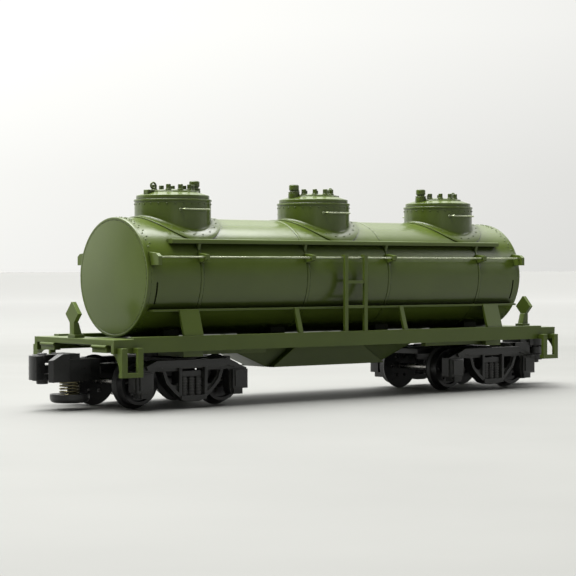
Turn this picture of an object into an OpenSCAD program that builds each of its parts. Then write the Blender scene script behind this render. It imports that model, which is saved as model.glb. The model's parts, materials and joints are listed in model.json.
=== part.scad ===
// Three-dome model tank wagon on two sprung bogies, with magnetic knuckle couplers.
// The long axis is X and the front end points to -X. Z = 0 is the lowest point of the wheel flanges,
// and the origin is midway between the bogies. The left side is -Y.

/* [Tank] */
// Outside diameter of the tank barrel
tank_d = 50; // [48:0.5:51]
// Length of the tank over its end caps
tank_len = 219.4; // [218:0.2:221]
// Height of the tank centre line
tank_z = 54; // [54:0.1:54.5]
// Thickness of the tank wall
tank_wall = 1.4; // [1:0.1:2]
// Distance from the middle seams to the centre
seam_inner_x = 24; // [22:0.5:25]
// Distance from the outer seams to the centre
seam_outer_x = 82; // [81:0.5:83]
// Rivets round one half of an end row
end_rivets = 22; // [10:1:26]

/* [Domes] */
// Outside diameter of a dome
dome_d = 32.6; // [30:0.2:33]
// Distance from the outer domes to the centre
dome_pitch = 79; // [77:0.5:80]
// Height of the top edge of a dome wall
dome_top = 86.9; // [85:0.1:88]
// Rivets round the foot of a dome
foot_rivets = 24; // [12:1:30]
// Rivets round the top of a dome
lip_rivets = 28; // [12:1:36]

/* [Underframe] */
// Length of the underframe over its end beams
frame_len = 259.3; // [258:0.1:260]
// Width of the underframe over its side sills
frame_w = 58.8; // [58.4:0.2:59.2]
// Height of the lower edge of the side sills
sill_bottom = 23.6; // [23.5:0.05:23.7]
// Height of the top of the end platforms
platform_top = 29.1; // [29:0.05:29.3]
// Height of the flat underside of the centre sill
centre_sill_bottom = 14.3; // [13.5:0.1:15]
// Overall width over the corner steps
step_w = 66; // [65:0.2:67]

/* [Side fittings] */
// Length of the running boards
walkway_len = 193; // [188:1:196]
// Distance from a running board's outer edge to the middle plane
walkway_edge = 23.5; // [23:0.1:24.5]
// Distance from a handrail to the middle plane
rail_y = 27.6; // [27.2:0.1:28]
// Height of the handrails
rail_z = 62.3; // [61.5:0.1:63]
// Thickness of the handrail wire
rail_d = 0.8; // [0.6:0.05:1]

/* [Bogies] */
// Distance from the king pins to the centre
bogie_pitch = 88.7; // [88.5:0.1:89]
// Distance between the axles of one bogie
wheelbase = 42.4; // [42:0.2:42.8]
// Diameter of a wheel over its flange
flange_d = 21.4; // [21:0.1:21.6]
// Diameter of a wheel's tread
tread_d = 18; // [17:0.1:18.4]
// Distance between the inner faces of two wheels
back_to_back = 28.2; // [28:0.1:28.6]
// Diameter of an axle
axle_d = 2.5; // [2.2:0.1:2.6]
// Overall width of a bogie
bogie_w = 57; // [56.6:0.1:57.4]

/* [Coupler] */
// Distance from the king pin to the uncoupling plate
plate_x = 42.6; // [42:0.1:43]
// Diameter of the uncoupling plate
plate_d = 16.2; // [14:0.2:16.6]
// Diameter over the turns of the plate's spring
plate_spring_d = 8.6; // [7.8:0.1:9]
// Full turns of the plate's spring
plate_spring_turns = 7; // [5:1:8]

/* [Hidden] */

$fn = 64;
olive = [0.35, 0.41, 0.16];
olive_light = [0.46, 0.52, 0.24];
black = [0.08, 0.08, 0.085];
steel = [0.72, 0.72, 0.70];
brass = [0.78, 0.60, 0.30];

tank_r = tank_d / 2;
cap_t = 1.8;             // thickness of an end cap's rim
seam_h = 0.2;            // how far a seam stands proud
seam_w = 1.4;
clear_r = tank_r + seam_h;   // side fittings keep outside this radius
dome_r = dome_d / 2;
dome_xs = [-dome_pitch, 0, dome_pitch];
pad_r = dome_r + 4.1;    // radius of a dome's foot flange
pad_h = 0.5;
dome_wall = 1.4;
lid_r = dome_r - 0.7;
lid_top = dome_top + 1.7;    // top of a lid's rim
slope_r = 11;            // where a lid's sloped shoulder meets its raised cover
slope_top = dome_top + 3.05;
cover_top = dome_top + 3.65;
cover_crown_h = 0.95;
cover_crown_r = slope_r - 0.3;
bolt_ring_r = 8.2;       // circle that the cover's bolts stand on
bolt_foot_top = dome_top + 4.5;
valve_ring_r = 11.5;     // distance from a lid's centre to its valve
valve_neck_low = dome_top + 5.1;
valve_neck_high = dome_top + 5.8;
valve_cap_low = dome_top + 8.1;
eye_ring_r = 10.2;       // distance from a lid's centre to its lifting eye
eye_foot_top = dome_top + 4.3;
lug_half = 1.6;          // half the width of a lid's hinge lug
lug_out = 14.2;          // its outer end, from the lid's centre
rivet_d = 0.75;
rivet_h = 0.3;

frame_x = frame_len / 2;
frame_y = frame_w / 2;
sill_t = 2;
deck_bottom = 26.6;
deck_top = 28.2;
rim_top = 29.9;          // top of the raised edge between the end platforms
rim_x = 120;
rim_y = 25.4;
pivot_gap = 0.2;         // play between a bogie's centre plate and the underframe
centre_plate_top = 22.7;
kingpin_r = 2;
running = 0.06;          // radial clearance of a turning or sliding fit
screw_x = 66;
screw_r = 1.5;

axle_z = flange_d / 2;
axle_r = axle_d / 2;
axle_end = bogie_w / 2 - 2.5;
wheel_in = back_to_back / 2;
wheel_t = 5.2;
flange_t = 1.1;
frame_in = 22;           // inner face of a bogie side frame
web_out = 26.4;          // outer face of a side frame's thin web
rib_out = 27.5;          // outer face of its raised ribs
box_out = bogie_w / 2;

head_bottom = 11.8;
head_top = 20.8;
head_raised_top = 23.1;
ear_low = [head_bottom + 0.2, 14.8];     // heights of the two ears that hold the knuckle
ear_high = [19.3, 22.6];
head_y = 7;
knuckle_x = 52.6;
knuckle_y = -5;
knuckle_pin_r = 1.2;
ear_r = 4.1;
plate_bottom = 2.9;
plate_top = 6.4;
spring_seat = 4.2;       // bottom of the plate's spring pocket
plunger_r = 1;

// Tube or bar along Z between two heights
module post(r, low, high) {
  translate([0, 0, low]) cylinder(r = r, h = high - low);
}

// Cylinder along X, centred on the tank axis
module tank_core(r, length) {
  translate([0, 0, tank_z]) rotate([0, 90, 0]) cylinder(r = r, h = length, center = true, $fn = 128);
}

// Box given by its lowest and highest corners
module block(low, high) {
  translate(low) cube(high - low);
}

// Outline drawn in Y and Z, extruded along X about a centre
module slab_yz(points, x, width) {
  translate([x - width / 2, 0, 0]) rotate([90, 0, 90]) linear_extrude(width) polygon(points);
}

// Outline drawn in X and Z, extruded along Y between two distances
module slab_xz(points, y_low, y_high) {
  translate([0, y_high, 0]) rotate([90, 0, 0]) linear_extrude(y_high - y_low) polygon(points);
}

// Both mirror images about a plane through the origin
module both(normal) {
  children();
  mirror(normal) children();
}

// ---- Underframe ----

module kingpin_sites() {
  for (s = [-1, 1]) translate([s * bogie_pitch, 0, 0]) children();
}

module screw_sites() {
  for (s = [-1, 1]) translate([s * screw_x, 0, 0]) children();
}

module underframe() {
  beam_top = 26.9;
  beam_block_bottom = 23.8;
  beam_face = 1.2;       // how far the blocks stand out from the recessed beam
  lip_r = 0.7;           // rounded upper edge of a block
  bearer_bottom = 24.8;  // underside of the cross bearers
  side_bearing = 21.2;   // underside of the pads above the bogie bolster's arms
  stiffener = 21.8;      // underside of the strips that stiffen the deck beside the wheels
  color(olive) difference() {
    union() {
      block([-frame_x + beam_face, -frame_y, deck_bottom], [frame_x - beam_face, frame_y, deck_top]);
      both([0, 1, 0]) {
        block([-frame_x, frame_y - sill_t, sill_bottom], [frame_x, frame_y, platform_top]);
        block([-rim_x, rim_y, deck_bottom], [rim_x, frame_y, rim_top]);
      }
      both([1, 0, 0]) {
        block([rim_x - 4, -frame_y, beam_top], [frame_x, frame_y, platform_top]);
        for (span = [[-24.3, -14], [14, 24.3]]) {
          block([frame_x - 3, span[0], beam_block_bottom], [frame_x, span[1], beam_top]);
          translate([frame_x, 0, beam_top - lip_r]) rotate([90, 0, 0])
            translate([0, 0, -span[1]]) cylinder(r = lip_r, h = span[1] - span[0], $fn = 24);
        }
        both([0, 1, 0]) block([47.5, 21, stiffener], [84, 24, deck_bottom]);
      }
      kingpin_sites() {
        block([-6.5, -frame_y + sill_t, 24.4], [6.5, frame_y - sill_t, deck_bottom]);
        post(8.5, centre_plate_top + pivot_gap, deck_bottom);
        both([0, 1, 0]) block([-5, 9.5, side_bearing], [5, frame_y - sill_t, deck_bottom]);
      }
      for (x = [-108, -62, 62, 108])
        block([x - 1, -frame_y + sill_t, bearer_bottom], [x + 1, frame_y - sill_t, deck_bottom]);
    }
    kingpin_sites() post(kingpin_r, 20, 32);
    screw_sites() post(screw_r, 20, 32);
  }
}

module centre_sill() {
  box_y = 11.25;
  spine_y = 7.5;
  flat_x = 33.4;
  shoulder_x = 19.3;
  spine_x = 57;
  color(olive) union() {
    slab_xz([[-spine_x, deck_bottom], [-spine_x, sill_bottom], [-flat_x, centre_sill_bottom],
             [flat_x, centre_sill_bottom], [spine_x, sill_bottom], [spine_x, deck_bottom]],
            -spine_y, spine_y);
    slab_xz([[-shoulder_x, deck_bottom], [-shoulder_x, sill_bottom], [-flat_x, centre_sill_bottom],
             [flat_x, centre_sill_bottom], [shoulder_x, sill_bottom], [shoulder_x, deck_bottom]],
            -box_y, box_y);
  }
}

// One stirrup step: two legs on the sill, a tread bar, and a curved gusset behind the outer leg
module corner_step() {
  inner_x = 117.7;
  outer_x = 128.1;
  leg_w = 2.75;
  foot = 14;
  top = 25.8;
  y_out = step_w / 2;
  y_in = y_out - 1.5;
  tread = 1.9;
  gusset_in = 24.5;      // where the gusset's curve meets the underside of the frame
  gusset_t = 1.2;
  for (x = [inner_x, outer_x - leg_w]) {
    block([x, y_in, foot], [x + leg_w, y_out, top]);
    block([x, frame_y, sill_bottom], [x + leg_w, y_in, top]);
  }
  block([inner_x, y_in - 1, foot], [outer_x, y_out, foot + tread]);
  curve = [for (a = [90 : -15 : 0])
    [gusset_in + (y_in - 0.3 - gusset_in) * cos(a), foot + (sill_bottom - foot) * sin(a)]];
  slab_yz(concat([[y_in, foot], [y_in, sill_bottom]], curve), outer_x - gusset_t / 2, gusset_t);
}

module corner_steps() {
  color(olive_light) both([1, 0, 0]) both([0, 1, 0]) corner_step();
}

module tank_saddles() {
  color(olive) difference() {
    for (x = [-bogie_pitch, -31, 31, bogie_pitch]) block([x - 4, -12, deck_top], [x + 4, 12, 34]);
    tank_core(tank_r, tank_len);
  }
}

module ballast_weight() {
  half = 72;
  color(steel) difference() {
    intersection() {
      tank_core(tank_r - tank_wall - 0.05, 2 * half);
      block([-half, -20, 29], [half, 20, 36]);
    }
    screw_sites() post(screw_r, 28, 37);
  }
}

module body_screws() {
  color(steel) screw_sites() {
    post(screw_r, deck_bottom, 35.5);
    difference() {
      post(2.8, 24.9, deck_bottom);
      block([-3, -0.35, 24.8], [3, 0.35, 25.5]);
    }
  }
}

// ---- Tank ----

module tank_barrel() {
  inner_len = tank_len - 2 * cap_t;
  color(olive) difference() {
    union() {
      tank_core(tank_r, inner_len);
      difference() {
        for (x = [-seam_outer_x, -seam_inner_x, seam_inner_x, seam_outer_x])
          translate([x, 0, 0]) tank_core(tank_r + seam_h, seam_w);
        for (x = dome_xs) translate([x, 0, tank_z]) cylinder(r = pad_r + 0.2, h = tank_d);
      }
    }
    tank_core(tank_r - tank_wall, inner_len + 2);
    screw_sites() post(screw_r, 26, 33);
    for (side = [-1, 1], end = [-1, 1])
      translate([end * 105, side * tank_r, 47.5]) cube([0.9, 1.6, 9], center = true);
  }
}

// Slightly dished end of the tank, with a plain rim, facing +X from X = 0
module tank_end() {
  crown = 1;
  face_r = tank_r - 1.2;
  dish_r = (face_r * face_r + crown * crown) / (2 * crown);
  translate([0, 0, tank_z]) rotate([0, 90, 0]) {
    cylinder(r = tank_r, h = cap_t, $fn = 128);
    translate([0, 0, -3]) cylinder(r = tank_r - tank_wall - 0.05, h = 3, $fn = 128);
    intersection() {
      cylinder(r = face_r, h = cap_t + crown, $fn = 128);
      translate([0, 0, cap_t + crown - dish_r]) sphere(r = dish_r, $fn = 128);
    }
  }
}

module rear_end_cap() {
  color(olive) translate([tank_len / 2 - cap_t, 0, 0]) tank_end();
}

module front_end_cap() {
  color(olive) mirror([1, 0, 0]) translate([tank_len / 2 - cap_t, 0, 0]) tank_end();
}

// A rivet standing on the barrel at an angle from the +Y side
module barrel_rivet(angle) {
  translate([0, 0, tank_z]) rotate([angle, 0, 0]) translate([0, tank_r, 0]) rotate([-90, 0, 0])
    cylinder(d = rivet_d, h = rivet_h, $fn = 16);
}

module tank_rivets() {
  rows = [105.9, 107.2];
  step = 180 / end_rivets;
  color(olive_light)
    for (end = [-1, 1], side = [0, 1], row = [0, 1], i = [0 : end_rivets - 1]) {
      angle = (i + row / 2) * step - 64;
      if (angle > 30 || angle < -37)
        translate([end * rows[row], 0, 0]) mirror([0, side, 0]) barrel_rivet(angle);
    }
}

// ---- Domes ----

module dome() {
  lip_h = 0.9;
  difference() {
    union() {
      translate([0, 0, tank_z]) cylinder(r = dome_r, h = dome_top - tank_z);
      translate([0, 0, dome_top - lip_h]) cylinder(r = dome_r + 0.3, h = lip_h);
      intersection() {
        tank_core(tank_r + pad_h, 2 * pad_r);
        translate([0, 0, tank_z]) cylinder(r = pad_r, h = tank_r + 1);
      }
    }
    tank_core(tank_r, 3 * pad_r);
    translate([0, 0, tank_z]) cylinder(r = dome_r - dome_wall, h = tank_r * 2);
  }
}

module front_dome() { color(olive) translate([dome_xs[0], 0, 0]) dome(); }
module middle_dome() { color(olive) translate([dome_xs[1], 0, 0]) dome(); }
module rear_dome() { color(olive) translate([dome_xs[2], 0, 0]) dome(); }

// Lid: a rim, a sloped shoulder, and a raised cover with a slightly domed top
module dome_lid() {
  cover_sphere_r = (pow(cover_crown_r, 2) + pow(cover_crown_h, 2)) / (2 * cover_crown_h);
  translate([0, 0, dome_top]) cylinder(r = lid_r, h = lid_top - dome_top);
  translate([0, 0, lid_top]) cylinder(r1 = lid_r - 0.3, r2 = slope_r, h = slope_top - lid_top);
  post(slope_r, slope_top, cover_top);
  intersection() {
    post(cover_crown_r, cover_top, cover_top + cover_crown_h);
    translate([0, 0, cover_top + cover_crown_h - cover_sphere_r]) sphere(r = cover_sphere_r, $fn = 360);
  }
  translate([0, 0, dome_top - 1.5]) cylinder(r = dome_r - dome_wall - 0.1, h = 1.5);
}

module front_dome_lid() { color(olive) translate([dome_xs[0], 0, 0]) dome_lid(); }
module middle_dome_lid() { color(olive) translate([dome_xs[1], 0, 0]) dome_lid(); }
module rear_dome_lid() { color(olive) translate([dome_xs[2], 0, 0]) dome_lid(); }

// Fittings drawn with the valve towards +X, turned to suit each dome and cut to the shape of its lid
module on_lids() {
  for (i = [0 : 2]) translate([dome_xs[i], 0, 0]) difference() {
    rotate([0, 0, i == 0 ? 0 : 180]) children();
    dome_lid();
  }
}

module safety_valve() {
  post(2.6, lid_top, valve_neck_low);
  post(1.9, valve_neck_low, valve_neck_high);
  post(2.25, valve_neck_high, valve_cap_low);
  post(1.9, valve_cap_low, valve_cap_low + 0.2);
}

module safety_valves() {
  color(olive) on_lids() translate([valve_ring_r, 0, 0]) safety_valve();
}

// Cover bolt: a round foot and a tall hexagonal head
module lid_bolt() {
  post(1.3, cover_top, bolt_foot_top);
  translate([0, 0, bolt_foot_top]) cylinder(r = 1.1, h = 1.9, $fn = 6);
}

module lid_bolts() {
  color(olive) on_lids() for (angle = [18, 54, 90, 126, 162, 221, 257, 293, 329])
    rotate([0, 0, angle]) translate([bolt_ring_r, 0, 0]) lid_bolt();
}

// Lifting eye on its foot, and the hinge lug on the shoulder behind it
module lifting_eye() {
  ring_r = 1.25;
  wire_r = 0.4;
  post(1.2, slope_top, eye_foot_top);
  translate([0, 0, eye_foot_top + ring_r + wire_r - 0.15]) rotate([90, 0, 0])
    rotate_extrude($fn = 32) translate([ring_r, 0]) circle(r = wire_r, $fn = 20);
  lug_in = slope_r + 0.2;
  block([lug_in - eye_ring_r, -lug_half, lid_top], [lug_out - eye_ring_r, lug_half, eye_foot_top - 0.3]);
}

module lifting_eyes() {
  color(olive) on_lids() rotate([0, 0, 180]) translate([eye_ring_r, 0, 0]) lifting_eye();
}

// Horizontal rail on the side of each dome, on two short posts
module grab_rail() {
  half = 7;
  rail_r = 0.38;
  post_r = 0.3;
  height = dome_top - 4.5;
  y = dome_r + 1.2;
  translate([-half, y, height]) rotate([0, 90, 0]) cylinder(r = rail_r, h = 2 * half, $fn = 20);
  for (x = [-half + 0.7, half - 0.7])
    translate([x, y, height]) rotate([90, 0, 0]) cylinder(r = post_r, h = 3.2, $fn = 20);
}

module dome_grab_rails() {
  color(olive_light) difference() {
    for (x = dome_xs) translate([x, 0, 0]) both([0, 1, 0]) grab_rail();
    for (x = dome_xs) translate([x, 0, tank_z]) cylinder(r = dome_r, h = dome_top - tank_z);
  }
}

module dome_rivets() {
  foot_ring = (dome_r + pad_r) / 2;
  color(olive_light) for (x = dome_xs) translate([x, 0, 0]) {
    for (i = [0 : foot_rivets - 1]) {
      along = foot_ring * cos((i + 0.5) * 360 / foot_rivets);
      across = foot_ring * sin((i + 0.5) * 360 / foot_rivets);
      lean = asin(across / (tank_r + pad_h));
      translate([along, 0, tank_z]) rotate([-lean, 0, 0])
        post(rivet_d / 2, tank_r + pad_h, tank_r + pad_h + rivet_h);
    }
    for (i = [0 : lip_rivets - 1])
      rotate([0, 0, (i + 0.5) * 360 / lip_rivets]) translate([dome_r, 0, dome_top - 2]) rotate([0, 90, 0])
        cylinder(d = rivet_d, h = rivet_h, $fn = 16);
  }
}

// ---- Side fittings, drawn on the +Y side ----

module walkway() {
  top = tank_z + 15.9;
  difference() {
    block([-walkway_len / 2, 18, top - 1.9], [walkway_len / 2, walkway_edge, top]);
    tank_core(clear_r, walkway_len + 2);
    for (x = dome_xs) translate([x, 0, tank_z]) cylinder(r = pad_r + 0.2, h = 20);
  }
}

module right_walkway() { color(olive_light) walkway(); }
module left_walkway() { color(olive_light) mirror([0, 1, 0]) walkway(); }

module seam_sites() {
  for (x = [-seam_outer_x, -seam_inner_x, seam_inner_x, seam_outer_x]) translate([x, 0, 0]) children();
}

module walkway_struts() {
  under = tank_z + 14;
  color(olive) difference() {
    both([0, 1, 0]) seam_sites()
      slab_yz([[walkway_edge - 0.3, under], [22.3, under - 3.4], [20, under - 3.4], [19, under]], 0, 1.4);
    tank_core(clear_r, tank_len);
  }
}

module handrail() {
  reach = 107.4;
  translate([-reach, rail_y, rail_z]) rotate([0, 90, 0]) cylinder(d = rail_d, h = 2 * reach, $fn = 24);
}

module right_handrail() { color(steel) handrail(); }
module left_handrail() { color(steel) mirror([0, 1, 0]) handrail(); }

module handrail_stanchions() {
  out = rail_y + 1;
  color(olive) difference() {
    both([0, 1, 0]) seam_sites()
      slab_yz([[out, rail_z - 1], [out, rail_z + 1], [23.2, rail_z + 1.8], [23.2, rail_z - 2.6]], 0, 2.4);
    tank_core(clear_r, tank_len);
    handrail();
    mirror([0, 1, 0]) handrail();
  }
}

module handrail_end_brackets() {
  color(olive_light) difference() {
    both([0, 1, 0]) for (end = [-1, 1])
      slab_yz([[29.6, tank_z + 5], [29.6, tank_z + 8.6], [28, tank_z + 9.8], [22.5, tank_z + 10.4],
               [22.5, tank_z + 5]], end * 107, 1.8);
    tank_core(tank_r, tank_len);
    handrail();
    mirror([0, 1, 0]) handrail();
  }
}

module ladder() {
  rail_half = 5.75;
  rail_w = 1.9;
  in = rail_y + rail_d / 2;
  out = in + 1.3;
  hook = rail_z + rail_d / 2;
  for (s = [-1, 1]) {
    block([s * rail_half - rail_w / 2, in, rim_top], [s * rail_half + rail_w / 2, out, hook]);
    block([s * rail_half - rail_w / 2, rail_y - 0.8, hook], [s * rail_half + rail_w / 2, out, hook + 0.9]);
  }
  for (z = [tank_z - 2.4, tank_z - 13.3])
    block([-rail_half, in + 0.2, z - 0.65], [rail_half, out - 0.2, z + 0.65]);
}

module right_ladder() { color(olive_light) ladder(); }
module left_ladder() { color(olive_light) mirror([0, 1, 0]) ladder(); }

// A narrow ledge along the tank, carried by slanted straps from the sill
module cradle() {
  ledge_top = tank_z - 13.2;
  ledge_y = 24.8;
  difference() {
    union() {
      block([-107, 18, ledge_top - 0.9], [107, ledge_y, ledge_top]);
      for (strap = [[-89, 10], [-31.1, 2.4], [31.1, 2.4], [89, 10]])
        slab_yz([[ledge_y + 0.3, ledge_top], [ledge_y - 0.8, ledge_top], [ledge_y + 2.2, rim_top],
                 [ledge_y + 3.6, rim_top]], strap[0], strap[1]);
    }
    tank_core(clear_r, tank_len);
  }
}

module right_cradle() { color(olive) cradle(); }
module left_cradle() { color(olive) mirror([0, 1, 0]) cradle(); }

// Diamond placard on a post with a tapered rib, facing +X
module placard() {
  foot_top = platform_top + 1.3;
  neck = 35.4;           // height where the post widens into the diamond
  corner = 38.9;
  tip = 43.9;
  post_half = 1.6;
  diamond_half = 4.75;
  tip_half = 0.3;
  plate_t = 2;
  half = [[post_half, foot_top], [post_half, neck], [diamond_half, corner], [tip_half, tip]];
  block([-2.6, -2.6, platform_top], [2.2, 2.6, foot_top]);
  slab_yz(concat(half, [for (i = [3 : -1 : 0]) [-half[i][0], half[i][1]]]), plate_t / 2, plate_t);
  slab_xz([[-plate_t, foot_top], [0, foot_top], [0, neck], [-0.4, neck]], -post_half, post_half);
}

// The two placards stand at different distances from the middle plane
placard_x = 125.7;
module rear_placard() { color(olive_light) translate([placard_x, -12, 0]) placard(); }
module front_placard() { color(olive_light) translate([-placard_x, 3.9, 0]) rotate([0, 0, 180]) placard(); }

// ---- Bogies, drawn about the king pin with the coupler towards +X ----

module at_end(end) {
  rotate([0, 0, end == "front" ? 180 : 0]) translate([bogie_pitch, 0, 0]) children();
}

module kingpin() {
  color(steel) {
    post(kingpin_r, 12.7, deck_top);
    difference() {
      post(3.6, 10.9, 12.7);
      block([-4, -0.4, 10.8], [4, 0.4, 11.6]);
    }
  }
}

module bolster() {
  beam_x = 5;
  color(black) difference() {
    union() {
      block([-beam_x, -frame_in, 13], [beam_x, frame_in, 20.6]);
      block([-beam_x, -web_out, 13], [beam_x, web_out, 15.6]);
      post(7, 20.6, centre_plate_top);
      // coupler tongue, and the flat tail over the inner axle
      block([beam_x, -5, 14.2], [31, 5, 18.4]);
      block([-33, -10, 17.4], [-beam_x, 10, 20]);
    }
    post(kingpin_r + running, 8, 26);
  }
}

// Half of the side frame's outline, from the top centre round to the bottom centre
half_frame = [[0, 20], [18.5, 20], [23.6, 17.8], [28.7, 15.9], [28.7, 7.3], [26.4, 7.3], [26.1, 4.9],
              [20.6, 4.9], [19.6, 8], [19.6, 14.6], [18.4, 15.8], [15.6, 15.4], [13.8, 10.8], [9.8, 6.8],
              [5.6, 3.6], [2.5, 2.8], [0, 2.8]];
half_window = [[7.2, 15.6], [13.4, 15.6], [12.9, 13.2], [10.2, 10], [8.6, 9.6], [7.2, 10.6]];
top_chord = [[0, 16.9], [0, 20], [18.5, 20], [23.6, 17.8], [22.8, 16.2], [18, 17.5], [15, 17]];
bottom_chord = [[15.6, 15.4], [13.8, 10.8], [9.8, 6.8], [5.6, 3.6], [2.5, 2.8], [0, 2.8], [0, 4],
                [2.3, 4.1], [5.4, 5.2], [8.9, 7.9], [12.6, 11.5], [14, 15.4]];

// One cast side frame on the +Y side
module side_frame() {
  spring_r = 1.75;
  spring_low = 5.4;
  spring_high = 13;
  coil_pitch = 1.15;
  column = [5.8, 7.2];
  difference() {
    union() {
      both([1, 0, 0]) {
        // thin web, then the raised chords and columns on top of it
        slab_xz(half_frame, frame_in, web_out);
        slab_xz(top_chord, web_out, rib_out);
        slab_xz(bottom_chord, web_out, rib_out);
        block([column[0], web_out, spring_low], [column[1], rib_out, 16.9]);
        // journal box with its lid and the strap under it
        block([20.4, web_out, 7.3], [28.2, box_out - 0.6, 15.4]);
        block([21.4, box_out - 0.6, 8.2], [27.3, box_out, 14.7]);
        block([21.2, web_out, 4.9], [25.8, rib_out, 7.3]);
      }
      // spring seat
      block([-6.4, web_out, spring_low - 1.8], [6.4, box_out - 0.4, spring_low]);
    }
    both([1, 0, 0]) {
      slab_xz(half_window, frame_in - 1, rib_out + 1);
      translate([wheelbase / 2, frame_in - 1, axle_z]) rotate([-90, 0, 0])
        cylinder(r = axle_r + running, h = axle_end - frame_in + 1.3);
    }
    block([-column[0] + 0.2, frame_in - 1, spring_low], [column[0] - 0.2, rib_out + 1, 16.4]);
  }
  for (x = [-3.6, 0, 3.6]) translate([x, 25.4, 0]) {
    post(spring_r - 0.45, spring_low, spring_high);
    for (z = [spring_low + 0.5 : coil_pitch : spring_high - 0.6]) post(spring_r, z, z + 0.6);
  }
}

module side_frames() {
  color(black) both([0, 1, 0]) side_frame();
}

// Cast coupler body: shank block, raised front, guard arm and the two ears of the knuckle hinge
module coupler_head() {
  color(black) difference() {
    union() {
      block([31, -5, head_bottom], [37, 5, head_top]);
      block([37, -head_y, head_bottom], [47.5, head_y, head_top]);
      block([41.6, -head_y + 0.8, head_top], [47.5, head_y - 0.8, head_raised_top]);
      // guard arm, with a sloped top and a flared inner face
      difference() {
        translate([0, 0, head_bottom]) linear_extrude(head_raised_top - head_bottom)
          polygon([[47.5, 7.8], [56, 8.8], [56.8, 6.2], [52, 4.4], [49, 3.6], [47.5, 3.6]]);
        slab_xz([[50, 23.6], [57, 20.4], [57, 24]], -1, 10);
      }
      for (ear = [ear_low, ear_high]) {
        translate([knuckle_x, knuckle_y, 0]) post(ear_r, ear[0], ear[1]);
        block([47, knuckle_y - 2.6, ear[0]], [knuckle_x, knuckle_y + 3.4, ear[1]]);
      }
    }
    translate([knuckle_x, knuckle_y, 0]) post(knuckle_pin_r, 10, 25);
    translate([plate_x, 0, 0]) post(plunger_r + running, 10, 18.8);
    // pocket behind the ears that clears the knuckle's barrel
    translate([knuckle_x, knuckle_y, 0]) post(ear_r + 0.4, ear_low[1], ear_high[0]);
  }
}

// Knuckle: a barrel between the ears and a curved finger in front of them
module knuckle() {
  finger_x = 51.8;
  finger_out = 8.5;
  finger_in = 4.9;
  color(black) difference() {
    union() {
      translate([knuckle_x, knuckle_y, 0]) post(ear_r - 0.3, 15.1, 18.3);
      difference() {
        intersection() {
          translate([finger_x, -0.5, 0]) difference() {
            post(finger_out, 12.6, 22.4);
            post(finger_in, 12, 23);
          }
          translate([0, 0, 12]) linear_extrude(11)
            polygon([[knuckle_x + 1, knuckle_y - 3.6], [63, knuckle_y - 3.6], [63, 2.2],
                     [finger_x + 4.4, 2.2], [knuckle_x + 1, knuckle_y]]);
        }
        translate([knuckle_x, knuckle_y, 0]) {
          post(ear_r + 0.4, 18.3, 24);
          post(ear_r + 0.4, 10, 15.1);
        }
      }
    }
    translate([knuckle_x, knuckle_y, 0]) post(knuckle_pin_r + running, 10, 25);
  }
}

module knuckle_pin() {
  color(black) translate([knuckle_x, knuckle_y, 0]) {
    post(knuckle_pin_r, ear_low[0], ear_high[1]);
    post(2.4, ear_low[0] - 1.4, ear_low[0]);
    post(2, ear_high[1], ear_high[1] + 0.6);
  }
}

// Round armature plate with a rounded lower edge, a pocket for its spring, and the plunger that it pulls
module uncoupling_plate() {
  edge = 1.9;            // radius of the rounded lower edge
  r = plate_d / 2;
  color(black) translate([plate_x, 0, 0]) {
    rotate_extrude() difference() {
      translate([0, plate_bottom]) square([r, plate_top - plate_bottom]);
      translate([r - edge, plate_bottom]) difference() {
        translate([0, -1]) square([edge + 1, edge + 1]);
        translate([0, edge]) circle(r = edge);
      }
      translate([0, spring_seat]) square([plate_spring_d / 2 + 0.3, plate_top]);
    }
    post(plunger_r, spring_seat, 16.4);
  }
}

module plate_spring() {
  wire_r = (head_bottom - spring_seat) / plate_spring_turns / 2;
  pitch_r = plate_spring_d / 2 - wire_r;
  color(brass) translate([plate_x, 0, 0]) difference() {
    union() {
      post(pitch_r + wire_r / 2, spring_seat, head_bottom);
      for (i = [0 : plate_spring_turns - 1])
        translate([0, 0, spring_seat + (2 * i + 1) * wire_r]) rotate_extrude()
          translate([pitch_r, 0]) circle(r = wire_r, $fn = 24);
    }
    post(pitch_r - wire_r / 2, spring_seat - 1, head_bottom + 1);
  }
}

// ---- Wheelsets ----

module at_axle(s) {
  translate([s * wheelbase / 2, 0, axle_z]) children();
}

module axle(s) {
  color(steel) at_axle(s) rotate([90, 0, 0]) cylinder(r = axle_r, h = 2 * axle_end, center = true);
}

// Flanged wheel on the +Y side with a dished outer face and a hub
module wheel() {
  tread_r = tread_d / 2;
  hub_r = 2.8;
  rotate([-90, 0, 0]) difference() {
    rotate_extrude($fn = 96) polygon([
      [axle_r, wheel_in], [flange_d / 2 - 0.3, wheel_in], [flange_d / 2, wheel_in + 0.4],
      [flange_d / 2 - 0.2, wheel_in + flange_t - 0.2], [tread_r + 0.1, wheel_in + flange_t + 0.2],
      [tread_r - 0.1, wheel_in + wheel_t], [tread_r - 1.5, wheel_in + wheel_t],
      [tread_r - 1.9, wheel_in + wheel_t - 1.3], [hub_r + 0.4, wheel_in + wheel_t - 1.6],
      [hub_r, wheel_in + wheel_t], [axle_r, wheel_in + wheel_t]
    ]);
    for (i = [0 : 5]) rotate([0, 0, i * 60]) translate([5.2, 0, wheel_in - 1])
      cylinder(r = 0.9, h = wheel_t + 2, $fn = 24);
  }
}

module wheels(s) {
  color(black) at_axle(s) both([0, 1, 0]) wheel();
}

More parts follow.
